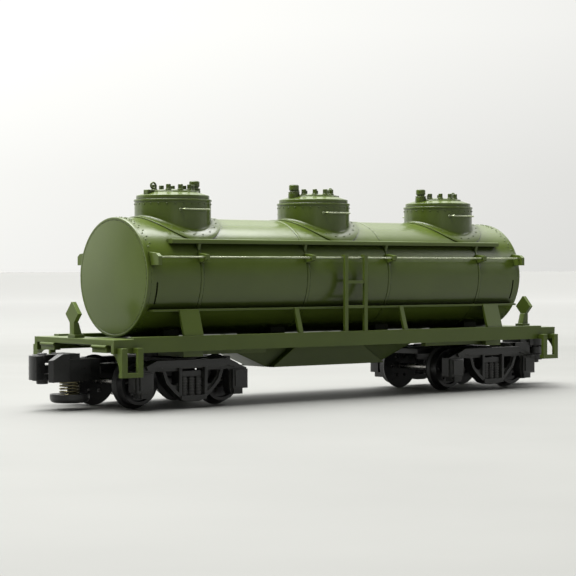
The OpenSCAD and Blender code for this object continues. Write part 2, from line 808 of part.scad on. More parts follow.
underframe();
centre_sill();
corner_steps();
tank_saddles();
tank_barrel();
front_end_cap();
rear_end_cap();
front_dome();
middle_dome();
rear_dome();
front_dome_lid();
middle_dome_lid();
rear_dome_lid();
safety_valves();
lid_bolts();
lifting_eyes();
dome_grab_rails();
tank_rivets();
dome_rivets();
left_walkway();
right_walkway();
walkway_struts();
left_handrail();
right_handrail();
handrail_stanchions();
handrail_end_brackets();
left_ladder();
right_ladder();
left_cradle();
right_cradle();
front_placard();
rear_placard();
ballast_weight();
body_screws();
at_end("front") kingpin();  // front_kingpin
at_end("rear") kingpin();  // rear_kingpin
at_end("front") bolster();  // front_bolster
at_end("front") side_frames();  // front_side_frames
at_end("front") coupler_head();  // front_coupler_head
at_end("front") knuckle();  // front_knuckle
at_end("front") knuckle_pin();  // front_knuckle_pin
at_end("front") uncoupling_plate();  // front_uncoupling_plate
at_end("front") plate_spring();  // front_plate_spring
at_end("front") axle(1);  // front_outer_axle
at_end("front") wheels(1);  // front_outer_wheels
at_end("front") axle(-1);  // front_inner_axle
at_end("front") wheels(-1);  // front_inner_wheels
at_end("rear") bolster();  // rear_bolster
at_end("rear") side_frames();  // rear_side_frames
at_end("rear") coupler_head();  // rear_coupler_head
at_end("rear") knuckle();  // rear_knuckle
at_end("rear") knuckle_pin();  // rear_knuckle_pin
at_end("rear") uncoupling_plate();  // rear_uncoupling_plate
at_end("rear") plate_spring();  // rear_plate_spring
at_end("rear") axle(1);  // rear_outer_axle
at_end("rear") wheels(1);  // rear_outer_wheels
at_end("rear") axle(-1);  // rear_inner_axle
at_end("rear") wheels(-1);  // rear_inner_wheels
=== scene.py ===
"""Looks of the three-dome model tank wagon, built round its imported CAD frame."""

import json
import math

import bmesh
import bpy
from mathutils import Matrix, Vector

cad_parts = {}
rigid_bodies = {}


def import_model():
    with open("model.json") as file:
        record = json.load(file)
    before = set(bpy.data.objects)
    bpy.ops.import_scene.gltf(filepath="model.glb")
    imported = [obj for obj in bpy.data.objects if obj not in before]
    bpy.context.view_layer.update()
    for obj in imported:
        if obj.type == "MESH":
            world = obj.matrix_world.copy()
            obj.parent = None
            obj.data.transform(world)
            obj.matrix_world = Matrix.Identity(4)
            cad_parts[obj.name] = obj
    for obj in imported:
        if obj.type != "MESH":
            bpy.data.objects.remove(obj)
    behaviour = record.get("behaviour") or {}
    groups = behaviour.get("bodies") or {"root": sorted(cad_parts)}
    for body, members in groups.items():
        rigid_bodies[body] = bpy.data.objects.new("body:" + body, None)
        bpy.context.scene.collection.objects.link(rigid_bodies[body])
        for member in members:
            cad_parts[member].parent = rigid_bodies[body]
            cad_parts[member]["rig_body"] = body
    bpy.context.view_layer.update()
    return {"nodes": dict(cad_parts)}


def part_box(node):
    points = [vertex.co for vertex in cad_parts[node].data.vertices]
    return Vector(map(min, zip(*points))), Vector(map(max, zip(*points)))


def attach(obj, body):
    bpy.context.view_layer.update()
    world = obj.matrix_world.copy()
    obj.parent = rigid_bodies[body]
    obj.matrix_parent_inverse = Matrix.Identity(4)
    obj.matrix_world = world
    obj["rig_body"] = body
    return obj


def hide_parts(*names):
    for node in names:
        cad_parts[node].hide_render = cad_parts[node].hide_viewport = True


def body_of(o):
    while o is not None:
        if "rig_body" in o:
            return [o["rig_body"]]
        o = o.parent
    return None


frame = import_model()

# lengths below are in millimetres, and MM turns them into Blender's metres
MM = 0.001
SIDES = (-1, 1)
DOMES = (-79.0, 0.0, 79.0)  # middle of each dome
TANK_Z = 54.0  # height of the tank's axis
TANK_R = 25.0
BARREL_HALF = 107.9  # half the barrel's length, without the end caps
DOME_R = 16.3
DOME_INNER_R = 15.1
DOME_WALL_TOP = 85.2  # where a dome's rolled lip begins
PAD_LIFT = 0.5  # height of a dome's foot flange above the barrel
RIVET_R, RIVET_H = 0.375, 0.3
BOGIE_X = 88.7  # king pins from the wagon's middle


# ---- Node trees ----


class Nodes:
    """An emptied node tree that is wired by short calls."""

    def __init__(self, tree):
        self.tree = tree
        tree.nodes.clear()

    def node(self, kind, **settings):
        made = self.tree.nodes.new(kind)
        for key, value in settings.items():
            setattr(made, key, value)
        return made

    def put(self, socket, value):
        """A link if value is an output socket, otherwise the socket's own value."""
        if isinstance(value, bpy.types.NodeSocket):
            self.tree.links.new(value, socket)
        else:
            socket.default_value = value

    def range(self, value, low, high, to_low=0.0, to_high=1.0):
        """value from low to high, held there and turned into to_low to to_high."""
        made = self.node("ShaderNodeMapRange")
        self.put(made.inputs["Value"], value)
        made.inputs["From Min"].default_value = low
        made.inputs["From Max"].default_value = high
        made.inputs["To Min"].default_value = to_low
        made.inputs["To Max"].default_value = to_high
        return made.outputs[0]

    def math(self, operation, a, b):
        made = self.node("ShaderNodeMath", operation=operation)
        self.put(made.inputs[0], a)
        self.put(made.inputs[1], b)
        return made.outputs[0]


class Surface(Nodes):
    """A material's node tree."""

    def __init__(self, name):
        self.material = bpy.data.materials.new(name)
        self.material.use_nodes = True
        super().__init__(self.material.node_tree)
        self.place = self.node("ShaderNodeTexCoord").outputs["Object"]
        self.shader = self.node("ShaderNodeBsdfPrincipled")
        out = self.node("ShaderNodeOutputMaterial")
        self.put(out.inputs["Surface"], self.shader.outputs[0])

    def noise(self, scale, detail=2.0, rough=0.5, stretch=None):
        """Cloudy noise in the piece's own metres. stretch squeezes it along an axis."""
        made = self.node("ShaderNodeTexNoise")
        if stretch:
            turn = self.node("ShaderNodeMapping")
            self.put(turn.inputs["Vector"], self.place)
            turn.inputs["Scale"].default_value = stretch
            self.put(made.inputs["Vector"], turn.outputs[0])
        else:
            self.put(made.inputs["Vector"], self.place)
        made.inputs["Scale"].default_value = scale
        made.inputs["Detail"].default_value = detail
        made.inputs["Roughness"].default_value = rough
        return made.outputs["Fac"]

    def blend(self, amount, a, b):
        """From colour a to colour b as amount goes from 0 to 1."""
        made = self.node("ShaderNodeMix", data_type="RGBA")
        self.put(made.inputs["Factor"], amount)
        self.put(made.inputs["A"], a if isinstance(a, bpy.types.NodeSocket) else (*a, 1.0))
        self.put(made.inputs["B"], b if isinstance(b, bpy.types.NodeSocket) else (*b, 1.0))
        return made.outputs["Result"]

    def edges(self, radius, low=0.03, high=0.25):
        """1 on sharp edges, 0 on flat ground."""
        soft = self.node("ShaderNodeBevel", samples=4)
        soft.inputs["Radius"].default_value = radius * MM
        plain = self.node("ShaderNodeNewGeometry")
        dot = self.node("ShaderNodeVectorMath", operation="DOT_PRODUCT")
        self.put(dot.inputs[0], soft.outputs[0])
        self.put(dot.inputs[1], plain.outputs["Normal"])
        return self.range(self.math("SUBTRACT", 1.0, dot.outputs["Value"]), low, high)

    def hollows(self, distance):
        """1 in the open, down to 0 in deep corners."""
        made = self.node("ShaderNodeAmbientOcclusion", samples=4)
        made.inputs["Distance"].default_value = distance * MM
        return made.outputs["AO"]

    def bump(self, height, depth, strength=1.0, under=None):
        """A normal bent by height, depth millimetres deep, over another normal if given."""
        made = self.node("ShaderNodeBump")
        made.inputs["Distance"].default_value = depth * MM
        made.inputs["Strength"].default_value = strength
        self.put(made.inputs["Height"], height)
        if under is not None:
            self.put(made.inputs["Normal"], under)
        return made.outputs[0]


def painted(name, colour, rough, worn_and_highlight, grain=0.006, gloss=0.5, nook=2.2, shade=0.5):
    """Sprayed model paint: faint mottling, orange peel, painted shade in corners, thin paint on edges
    lightened also as a painted highlight.

    grain is the depth of the orange peel and nook the reach of the shade painted into corners, in
    millimetres.
    """
    s = Surface(name)
    dust = (0.15, 0.165, 0.09)
    dark = tuple(c * 0.88 for c in colour)
    dusty = tuple(0.78 * c + 0.22 * d for c, d in zip(colour, dust))
    cloud = s.noise(38.0, 4.0, 0.6)
    speck = s.noise(2600.0, 2.0, 0.6)
    body = s.blend(s.range(cloud, 0.35, 0.68), dark, colour)
    body = s.blend(s.range(speck, 0.58, 0.78, 0.0, 0.35), body, dusty)
    # painted shade: ambient occlusion darkens the colour in corners and under overhangs, where shade falls
    painted_corner_shade = s.range(s.hollows(nook), 0.5, 0.88, shade, 0.0)
    body = s.blend(painted_corner_shade, body, tuple(c * 0.2 for c in colour))
    # worn edges: thinned paint, made lighter also as a painted highlight
    chips_and_edge_highlight = s.math("MULTIPLY", s.edges(0.28), s.range(s.noise(620.0, 3.0, 0.7), 0.42, 0.66))
    body = s.blend(s.math("MULTIPLY", chips_and_edge_highlight, 0.55), body, worn_and_highlight)
    s.put(s.shader.inputs["Base Color"], body)
    shine = s.range(s.noise(150.0, 4.0, 0.6), 0.3, 0.7, rough - 0.02, rough + 0.03)
    s.put(s.shader.inputs["Roughness"], s.math("ADD", shine, s.math("MULTIPLY", chips_and_edge_highlight, 0.12)))
    s.shader.inputs["Specular IOR Level"].default_value = gloss
    peel = s.bump(s.noise(900.0, 2.0, 0.5), grain)
    s.put(s.shader.inputs["Normal"], s.bump(speck, grain * 0.35, 0.6, peel))
    return s.material


def cast(name, colour, rough, worn_and_highlight):
    """Blackened die casting: coarse grain, polished high edges lightened partly as a painted highlight,
    dust in the hollows.
    """
    s = Surface(name)
    cloud = s.noise(70.0, 4.0, 0.65)
    grit = s.noise(1500.0, 4.0, 0.65)
    body = s.blend(s.range(cloud, 0.3, 0.7), tuple(c * 0.7 for c in colour), colour)
    dust = s.range(s.hollows(3.0), 0.35, 0.9, 0.45, 0.0)
    body = s.blend(dust, body, (0.022, 0.022, 0.016))
    # rubbed high edges: real polish, lightened also as a painted highlight
    rubbed_and_highlight = s.math("MULTIPLY", s.edges(0.32), s.range(s.noise(480.0, 3.0, 0.7), 0.35, 0.6))
    body = s.blend(s.math("MULTIPLY", rubbed_and_highlight, 0.7), body, worn_and_highlight)
    s.put(s.shader.inputs["Base Color"], body)
    shine = s.range(grit, 0.3, 0.7, rough - 0.08, rough + 0.12)
    s.put(s.shader.inputs["Roughness"], s.math("SUBTRACT", shine, s.math("MULTIPLY", rubbed_and_highlight, 0.1)))
    low = s.bump(s.noise(420.0, 3.0, 0.55), 0.03, 0.7)
    s.put(s.shader.inputs["Normal"], s.bump(grit, 0.02, 0.8, low))
    return s.material


def metal(name, colour, rough, dull, stretch=None, grain=0.004):
    """Bare metal with fine turning or drawing marks and patches of tarnish."""
    s = Surface(name)
    patch = s.range(s.noise(160.0, 4.0, 0.65), 0.42, 0.68)
    marks = s.noise(1400.0, 3.0, 0.6, stretch)
    body = s.blend(patch, colour, dull)
    body = s.blend(s.range(marks, 0.3, 0.7, 0.0, 0.25), body, tuple(c * 0.6 for c in colour))
    edge = s.edges(0.2)
    body = s.blend(s.math("MULTIPLY", edge, 0.4), body, tuple(min(1.0, c * 1.3) for c in colour))
    s.put(s.shader.inputs["Base Color"], body)
    s.shader.inputs["Metallic"].default_value = 1.0
    s.put(s.shader.inputs["Roughness"], s.range(patch, 0.0, 1.0, rough, rough + 0.2))
    s.put(s.shader.inputs["Normal"], s.bump(marks, grain, 0.8))
    return s.material


OLIVE = (0.070, 0.101, 0.014)
# edge colour for thinned paint, light enough to serve as a painted highlight too
WORN_HIGHLIGHT_OLIVE = (0.26, 0.31, 0.13)
# nook and shade set how far and how deep shade is painted into corners, furthest on the tank under the
# walkways
TANK_PAINT = painted("tank_paint", OLIVE, 0.24, WORN_HIGHLIGHT_OLIVE, grain=0.004, gloss=0.5, nook=6.0, shade=0.8)
FRAME_PAINT = painted("frame_paint", OLIVE, 0.36, WORN_HIGHLIGHT_OLIVE, gloss=0.35, nook=3.5, shade=0.6)
# near-black saddles: painted shade, standing in for the dark under the tank
SHADE_DARK_SADDLE_PAINT = painted("saddle_painted_shade", (0.011, 0.014, 0.005), 0.6, OLIVE, gloss=0.15)
FITTING_OLIVE = tuple(c * 1.08 for c in OLIVE)
FITTING_PAINT = painted("fitting_paint", FITTING_OLIVE, 0.32, WORN_HIGHLIGHT_OLIVE, grain=0.005, gloss=0.4)
WIRE = metal("rail_wire", (0.50, 0.54, 0.38), 0.26, (0.24, 0.28, 0.15))
# the last colour of each casting lightens rubbed edges, partly as a painted highlight
CASTING = cast("black_casting", (0.012, 0.0125, 0.012), 0.33, (0.12, 0.12, 0.105))
WHEEL = cast("black_wheel", (0.017, 0.017, 0.018), 0.34, (0.10, 0.10, 0.095))
TREAD = metal("wheel_tread", (0.42, 0.41, 0.39), 0.24, (0.16, 0.15, 0.14), stretch=(1.0, 0.04, 1.0))
STEEL = metal("bare_steel", (0.62, 0.61, 0.58), 0.22, (0.34, 0.32, 0.30), stretch=(1.0, 0.05, 1.0))
BRASS = metal("brass_wire", (0.30, 0.27, 0.16), 0.32, (0.10, 0.09, 0.05))


# ---- Mesh building ----


def finished(bm, name, material, node, angle=34.0, more=()):
    """The bmesh as an object that stands for a CAD node and rides on its body.

    angle is the sharpest bend that is shaded smooth, in degrees, and more holds further materials.
    """
    bmesh.ops.recalc_face_normals(bm, faces=bm.faces)
    mesh = bpy.data.meshes.new(name)
    bm.to_mesh(mesh)
    bm.free()
    mesh.shade_smooth()
    mesh.set_sharp_from_angle(angle=math.radians(angle))
    for each in (material, *more):
        mesh.materials.append(each)
    piece = bpy.data.objects.new(name, mesh)
    bpy.context.scene.collection.objects.link(piece)
    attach(piece, body_of(frame["nodes"][node])[0])
    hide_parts(node)
    return piece


def softened(piece, width, segments=3, angle=32.0):
    """Rounds the piece's sharp edges with a bevel modifier."""
    soft = piece.modifiers.new("soft_edges", "BEVEL")
    soft.width = width * MM
    soft.segments = segments
    soft.limit_method = "ANGLE"
    soft.angle_limit = math.radians(angle)
    soft.use_clamp_overlap = True
    soft.harden_normals = False
    soft.miter_outer = "MITER_ARC"


def cleaned(node):
    """A CAD node's mesh as a bmesh with whole flat faces."""
    same_point = 0.004 * MM
    same_plane = math.radians(0.6)
    bm = bmesh.new()
    bm.from_mesh(frame["nodes"][node].data)
    bmesh.ops.remove_doubles(bm, verts=bm.verts, dist=same_point)
    bmesh.ops.dissolve_limit(
        bm, angle_limit=same_plane, verts=bm.verts, edges=bm.edges, use_dissolve_boundaries=False
    )
    return bm


def skinned(bm, rows):
    """Quads between rings that have the same number of points."""
    for a, b in zip(rows, rows[1:]):
        for k in range(len(a)):
            j = (k + 1) % len(a)
            bm.faces.new((a[k], a[j], b[j], b[k]))


def capped(bm, rows):
    """Flat faces on the first and the last ring."""
    bm.faces.new(rows[0][::-1])
    bm.faces.new(rows[-1])


def refined(node, material, width):
    """A CAD node with softened edges."""
    softened(finished(cleaned(node), node + "_detail", material, node), width)


def on_z(x, y):
    """Places a turned profile about a vertical axis."""
    return lambda r, a, h: Vector((x + r * math.cos(a), y + r * math.sin(a), h)) * MM


def on_x(y, z, sign):
    """Places a turned profile about a lengthwise axis, its heights along sign."""
    return lambda r, a, h: Vector((sign * h, y + r * math.cos(a), z + r * math.sin(a))) * MM


def turned(bm, profile, place, count=96):
    """Lathe: a profile of (radius, height) turned about place's axis."""
    rows = []
    for r, h in profile:
        if r < 1e-6:
            rows.append([bm.verts.new(place(0.0, 0.0, h))])
        else:
            rows.append([bm.verts.new(place(r, 2 * math.pi * i / count, h)) for i in range(count)])
    for a, b in zip(rows, rows[1:]):
        for i in range(count):
            j = (i + 1) % count
            if len(a) == 1:
                bm.faces.new((a[0], b[i], b[j]))
            elif len(b) == 1:
                bm.faces.new((a[i], a[j], b[0]))
            else:
                bm.faces.new((a[i], a[j], b[j], b[i]))


def rounded(points, radius, steps=4):
    """A polyline with its corners rounded. radius is one number or one for each inner corner."""
    out = [points[0]]
    for i in range(1, len(points) - 1):
        before, here, after = (Vector(points[i + k]) for k in (-1, 0, 1))
        size = radius if isinstance(radius, (int, float)) else radius[i - 1]
        back, on = before - here, after - here
        if size <= 0 or back.length < 1e-9 or on.length < 1e-9:
            out.append(tuple(here))
            continue
        turn = back.angle(on)
        cut = min(size / math.tan(turn / 2), back.length * 0.49, on.length * 0.49)
        a, b = here + back.normalized() * cut, here + on.normalized() * cut
        for k in range(steps + 1):
            t = k / steps
            out.append(tuple(a * (1 - t) ** 2 + here * 2 * t * (1 - t) + b * t**2))
    out.append(points[-1])
    return out


def tube(bm, path, radius, count, closed=False):
    """A round wire along a path of points, with flat ends unless the path is closed."""
    points = [Vector(p) for p in path]
    side = Vector((0, 0, 1))
    rows = []
    for i, p in enumerate(points):
        ahead = points[min(i + 1, len(points) - 1)] - points[max(i - 1, 0)]
        ahead.normalize()
        side = side - ahead * side.dot(ahead)
        if side.length < 1e-4:
            side = ahead.orthogonal()
        side.normalize()
        up = ahead.cross(side)
        row = []
        for k in range(count):
            a = 2 * math.pi * k / count
            row.append(bm.verts.new((p + side * radius * math.cos(a) + up * radius * math.sin(a)) * MM))
        rows.append(row)
    skinned(bm, rows)
    if closed:
        skinned(bm, (rows[-1], rows[0]))
    else:
        capped(bm, rows)


def dome_head(bm, centre, normal, radius, height, count=10):
    """A round rivet head on a surface."""
    n = Vector(normal).normalized()
    u = n.orthogonal().normalized()
    v = n.cross(u)
    c = Vector(centre)
    rows = []
    for lift, share in ((-0.4, 1.0), (0.0, 1.0), (0.5, 0.86), (0.85, 0.52)):
        row = []
        for k in range(count):
            a = 2 * math.pi * k / count
            spot = c + (u * math.cos(a) + v * math.sin(a)) * radius * share + n * height * lift
            row.append(bm.verts.new(spot * MM))
        rows.append(row)
    skinned(bm, rows)
    top = bm.verts.new((c + n * height) * MM)
    for k in range(count):
        bm.faces.new((rows[-1][k], rows[-1][(k + 1) % count], top))
    bm.faces.new(rows[0][::-1])


def brick(bm, low, high):
    """A plain block inside a larger mesh."""
    spots = [(x, y, z) for x in (low[0], high[0]) for y in (low[1], high[1]) for z in (low[2], high[2])]
    v = [bm.verts.new(Vector(s) * MM) for s in spots]
    for f in ((0, 1, 3, 2), (4, 6, 7, 5), (0, 4, 5, 1), (2, 3, 7, 6), (0, 2, 6, 4), (1, 5, 7, 3)):
        bm.faces.new([v[i] for i in f])


# ---- Tank ----


def tank_barrel():
    """Barrel with raised seam bands, a groove beside each, and narrow slots near its ends."""
    inner, slot_floor = 23.6, 24.2
    slot_x, slot_half = 105.0, 0.45
    slot_foot, slot_top = -11, -2  # heights from the tank's axis
    seams = (-82.0, -24.0, 24.0, 82.0)
    seam_half, seam_high = 0.7, 0.2
    # a seam's outline: steps out from its middle in seam_half, heights in seam_high
    rise = ((1.3, 0), (1.2, -0.9), (1.05, -0.9), (0.98, 0.4), (0.85, 0.9), (0.65, 1))
    seam = [(-step, lift) for step, lift in rise] + list(rise[::-1])
    slots = [end * slot_x + edge * slot_half for end in SIDES for edge in SIDES]
    stations = [(-BARREL_HALF, TANK_R)]
    for x in sorted(slots + list(seams)):
        if x in slots:
            stations.append((x, TANK_R))
            continue
        for step, lift in seam:
            stations.append((x + seam_half * step, TANK_R + seam_high * lift))
    stations += [(BARREL_HALF, TANK_R), (BARREL_HALF, inner), (-BARREL_HALF, inner)]
    count = 256
    angles = [2 * math.pi * i / count for i in range(count)]
    slot_low, slot_high = math.asin(slot_foot / TANK_R), math.asin(slot_top / TANK_R)
    spans = []
    for ends in ((slot_low, slot_high), (math.pi - slot_high, math.pi - slot_low)):
        # the nearest angles move to the slot's ends
        span = []
        for a in ends:
            i = round((a % (2 * math.pi)) / (2 * math.pi) * count) % count
            angles[i] = a % (2 * math.pi)
            span.append(i)
        spans.append(span)
    bm = bmesh.new()
    rows = []
    for x, r in stations:
        row = [bm.verts.new(Vector((x, r * math.cos(a), TANK_Z + r * math.sin(a))) * MM) for a in angles]
        rows.append(row)
    pockets = []
    for k, (a, b) in enumerate(zip(rows, rows[1:] + rows[:1])):
        middle = abs(stations[k][0] + stations[(k + 1) % len(stations)][0]) / 2
        in_slot = k < len(stations) - 3 and abs(middle - slot_x) < 0.01
        for i in range(count):
            j = (i + 1) % count
            face = bm.faces.new((a[i], a[j], b[j], b[i]))
            if in_slot and any(low <= i < high for low, high in spans):
                pockets.append(face)
    made = bmesh.ops.extrude_face_region(bm, geom=pockets)
    for v in made["geom"]:
        if isinstance(v, bmesh.types.BMVert):
            v.co.y *= slot_floor / TANK_R
            v.co.z = TANK_Z * MM + (v.co.z - TANK_Z * MM) * slot_floor / TANK_R
    bmesh.ops.delete(bm, geom=pockets, context="FACES")
    finished(bm, "tank_shell", TANK_PAINT, "tank_barrel", angle=40)


def end_cap(node, sign):
    """Pressed end: rounded rim, a fine groove and a slightly domed face."""
    face_r, face_out, rings = 23.7, 1.78, 24
    crown, crown_r = 1.0, 23.8
    plug_r, plug_depth = 23.55, 3
    back = BARREL_HALF
    face = []
    for k in range(rings + 1):
        r = face_r * k / rings
        face.append((r, back + face_out + crown * (1 - (r / crown_r) ** 2)))
    rim = rounded([(23.72, back + 1.62), (24.0, back + 1.8), (25.0, back + 1.8),
                   (25.0, back + 0.12), (24.85, back)], [0.1, 0.45, 0.1], 5)
    tail = [(plug_r, back), (plug_r, back - plug_depth), (0, back - plug_depth)]
    bm = bmesh.new()
    turned(bm, face + rim + tail, on_x(0, TANK_Z, sign), 256)
    finished(bm, node + "_face", TANK_PAINT, node, angle=40)


def tank_rivets():
    """Two staggered rows of rivets round each end, left out where the slots are."""
    per_side = 22
    step = 180 / per_side
    first = -64
    slot_low, slot_high = -37, 30  # degrees
    bm = bmesh.new()
    for end in SIDES:
        for side in SIDES:
            for row, x in enumerate((105.9, 107.2)):
                for i in range(per_side):
                    lean = (i + row / 2) * step + first
                    if slot_low <= lean <= slot_high:
                        continue
                    a = math.radians(lean)
                    out = (0, side * math.cos(a), math.sin(a))
                    spot = (end * x, out[1] * TANK_R, TANK_Z + out[2] * TANK_R)
                    dome_head(bm, spot, out, RIVET_R, RIVET_H)
    finished(bm, "tank_rivet_heads", TANK_PAINT, "tank_rivets", angle=50)


# ---- Domes ----


def on_tank(x, y, lift):
    """A point above the tank's skin, lift millimetres out along its normal."""
    z = math.sqrt(TANK_R**2 - y * y)
    k = 1 + lift / TANK_R
    return Vector((x, y * k, TANK_Z + z * k))


def dome(node, x):
    """Dome wall with a filleted foot that follows the tank, and a rolled lip."""
    pad, count = 20.4, 160
    fillet, bend = 1.0, 6
    # foot flange: distance from the dome's axis, height above the barrel
    flange = ((pad, -0.3), (pad, 0.3), (pad - 0.06, 0.43), (pad - 0.22, PAD_LIFT), (18.6, PAD_LIFT))
    lip = rounded([(DOME_R, DOME_WALL_TOP), (DOME_R, 85.95), (16.6, 86.12), (16.6, 86.9),
                   (DOME_INNER_R, 86.9), (DOME_INNER_R, 82.0)], [0.15, 0.1, 0.22, 0.1], 4)
    bm = bmesh.new()
    rows = []
    for i in range(count):
        a = 2 * math.pi * i / count
        c, s = math.cos(a), math.sin(a)
        ring = []
        for r, lift in flange:
            ring.append(on_tank(x + r * c, r * s, lift))
        start = on_tank(x + (DOME_R + fillet) * c, (DOME_R + fillet) * s, PAD_LIFT)
        foot = on_tank(x + DOME_R * c, DOME_R * s, PAD_LIFT)
        corner = Vector((x + DOME_R * c, DOME_R * s, foot.z))
        end = corner + Vector((0, 0, fillet))
        for k in range(bend + 1):
            t = k / bend
            ring.append(start * (1 - t) ** 2 + corner * 2 * t * (1 - t) + end * t * t)
        for k in (1, 2, 3):
            ring.append(end.lerp(Vector((x + DOME_R * c, DOME_R * s, DOME_WALL_TOP)), k / 4))
        for r, h in lip:
            ring.append(Vector((x + r * c, r * s, h)))
        low = on_tank(x + DOME_INNER_R * c, DOME_INNER_R * s, 0.0)
        ring.append(Vector((x + DOME_INNER_R * c, DOME_INNER_R * s, low.z + 0.3)))
        rows.append([bm.verts.new(p * MM) for p in ring])
    for i in range(count):
        a, b = rows[i], rows[(i + 1) % count]
        for k in range(len(a) - 1):
            bm.faces.new((a[k], b[k], b[k + 1], a[k + 1]))
        bm.faces.new((a[-1], b[-1], b[0], a[0]))
    finished(bm, node + "_wall", TANK_PAINT, node, angle=40)


def dome_lid(node, x):
    """Lid: rim, sloped shoulder and raised cover with a slight crown."""
    cover_r, cover_z, crown, rings = 10.4, 90.62, 0.88, 8
    top = []
    for k in range(1, rings + 1):
        share = 1 - k / rings
        top.append((cover_r * share, cover_z + crown * (1 - share**2)))
    edge = rounded(
        [(14.8, 85.4), (14.8, 86.95), (15.6, 86.95), (15.6, 88.6),
         (15.15, 88.68), (11.05, 89.95), (11.0, 90.55), (cover_r, cover_z)],
        [0.1, 0.12, 0.35, 0.2, 0.25, 0.22], 4)
    bm = bmesh.new()
    turned(bm, [(0, 85.4)] + edge + top, on_z(x, 0), 160)
    finished(bm, node + "_cover", TANK_PAINT, node, angle=40)


def lid_turn(i):
    """The front lid's valve stands towards +X, the other two towards -X."""
    return 0.0 if i == 0 else math.pi


def safety_valves():
    """A valve on each lid: broad foot, narrow neck and a cap."""
    out, foot = 11.5, 88.7
    profile = rounded(
        [(2.6, foot), (2.6, 91.2), (2.45, 91.3), (2.45, 91.55), (2.6, 91.65), (2.6, 92.0),
         (1.9, 92.05), (1.9, 92.72), (2.25, 92.8), (2.25, 94.9), (2.1, 95.0), (1.9, 95.02),
         (1.9, 95.2), (0, 95.2)],
        [0.08, 0.05, 0.05, 0.1, 0.15, 0.1, 0.1, 0.12, 0.08, 0.03, 0.03, 0.08, 0.0], 3)
    bm = bmesh.new()
    for i, x in enumerate(DOMES):
        a = lid_turn(i)
        turned(bm, [(0, foot)] + profile, on_z(x + out * math.cos(a), out * math.sin(a)), 40)
    finished(bm, "safety_valve_set", TANK_PAINT, "safety_valves")


def hexagon(bm, x, y, low, high, radius, turn):
    """Hexagonal bolt head with a turned-down top corner."""
    corner = 0.15
    rows = []
    for r, z in ((radius, low), (radius, high - corner), (radius - corner, high)):
        row = []
        for k in range(6):
            a = turn + k * math.pi / 3
            row.append(bm.verts.new(Vector((x + r * math.cos(a), y + r * math.sin(a), z)) * MM))
        rows.append(row)
    skinned(bm, rows)
    capped(bm, rows)


def lid_bolts():
    """Bolts round each lid's cover, each on a round foot."""
    ring, foot_low, head_low, head_high = 8.2, 90.6, 91.35, 93.3
    foot = rounded([(1.3, foot_low), (1.3, 91.3), (1.1, 91.4), (0, 91.4)], [0.15, 0.1], 2)
    bm = bmesh.new()
    for i, x in enumerate(DOMES):
        for degrees in (18, 54, 90, 126, 162, 221, 257, 293, 329):
            a = math.radians(degrees) + lid_turn(i)
            cx, cy = x + ring * math.cos(a), ring * math.sin(a)
            turned(bm, [(0, foot_low)] + foot, on_z(cx, cy), 20)
            hexagon(bm, cx, cy, head_low, head_high, 1.1, a)
    softened(finished(bm, "lid_bolt_heads", TANK_PAINT, "lid_bolts"), 0.06, 2)


def lifting_eyes():
    """A ring on its foot opposite each valve, and the hinge lug behind it."""
    out, foot_low, ring_z, ring_r, wire_r = 10.2, 89.9, 92.7, 1.25, 0.4
    foot = rounded([(1.25, foot_low), (1.2, 91.0), (0.6, 91.25), (0, 91.25)], [0.2, 0.15], 3)
    bm = bmesh.new()
    for i, x in enumerate(DOMES):
        c = math.cos(lid_turn(i) + math.pi)
        cx = x + out * c
        turned(bm, [(0, foot_low)] + foot, on_z(cx, 0), 24)
        turns = [2 * math.pi * k / 36 for k in range(36)]
        loop = [(cx + ring_r * math.cos(t), 0, ring_z + ring_r * math.sin(t)) for t in turns]
        tube(bm, loop, wire_r, 12, closed=True)
        low, high = sorted((x + 11.2 * c, x + 14.2 * c))
        brick(bm, (low, -1.6, 88.5), (high, 1.6, 90.9))
    softened(finished(bm, "lifting_eye_set", TANK_PAINT, "lifting_eyes"), 0.25, 3, 50)


def dome_grab_rails():
    """Bent wire rails whose ends turn in to the dome, with a small washer at each end."""
    z, half, out, foot = 82.4, 6.8, 17.5, 14.9
    reach = math.sqrt(DOME_R**2 - half**2)
    bm = bmesh.new()
    for x in DOMES:
        for side in SIDES:
            path = rounded([(x - half, side * foot, z), (x - half, side * out, z),
                            (x + half, side * out, z), (x + half, side * foot, z)], 0.8, 6)
            tube(bm, path, 0.38, 14)
            for end in SIDES:
                cx = x + end * half
                dome_head(bm, (cx, side * reach, z), (cx - x, side * reach, 0), 0.62, 0.22, 12)
    finished(bm, "dome_grab_wires", WIRE, "dome_grab_rails", angle=50)


def dome_rivets():
    """Rivets on each dome's foot flange and round its wall under the lip."""
    ring, on_pad, per_pad = 18.35, TANK_R + PAD_LIFT, 24
    wall_z, wall_h, per_wall = 84.9, 0.28, 28
    bm = bmesh.new()
    for x in DOMES:
        for i in range(per_pad):
            a = (i + 0.5) * 2 * math.pi / per_pad
            y = ring * math.sin(a)
            lean = math.asin(y / on_pad)
            spot = (x + ring * math.cos(a), y, TANK_Z + on_pad * math.cos(lean))
            dome_head(bm, spot, (0, math.sin(lean), math.cos(lean)), RIVET_R, RIVET_H)
        for i in range(per_wall):
            a = (i + 0.5) * 2 * math.pi / per_wall
            out = (math.cos(a), math.sin(a), 0)
            dome_head(bm, (x + DOME_R * out[0], DOME_R * out[1], wall_z), out, RIVET_R, wall_h)
    finished(bm, "dome_rivet_heads", TANK_PAINT, "dome_rivets", angle=50)


# ---- Walkways and handrails ----


def handrails():
    """A straight wire along each side."""
    half, y, z, steps = 107.4, 27.6, 62.3, 40
    for side, name in zip(SIDES, ("left_handrail", "right_handrail")):
        bm = bmesh.new()
        path = [(-half + 2 * half * k / steps, side * y, z) for k in range(steps + 1)]
        tube(bm, path, 0.4, 16)
        finished(bm, name + "_wire", WIRE, name, angle=50)


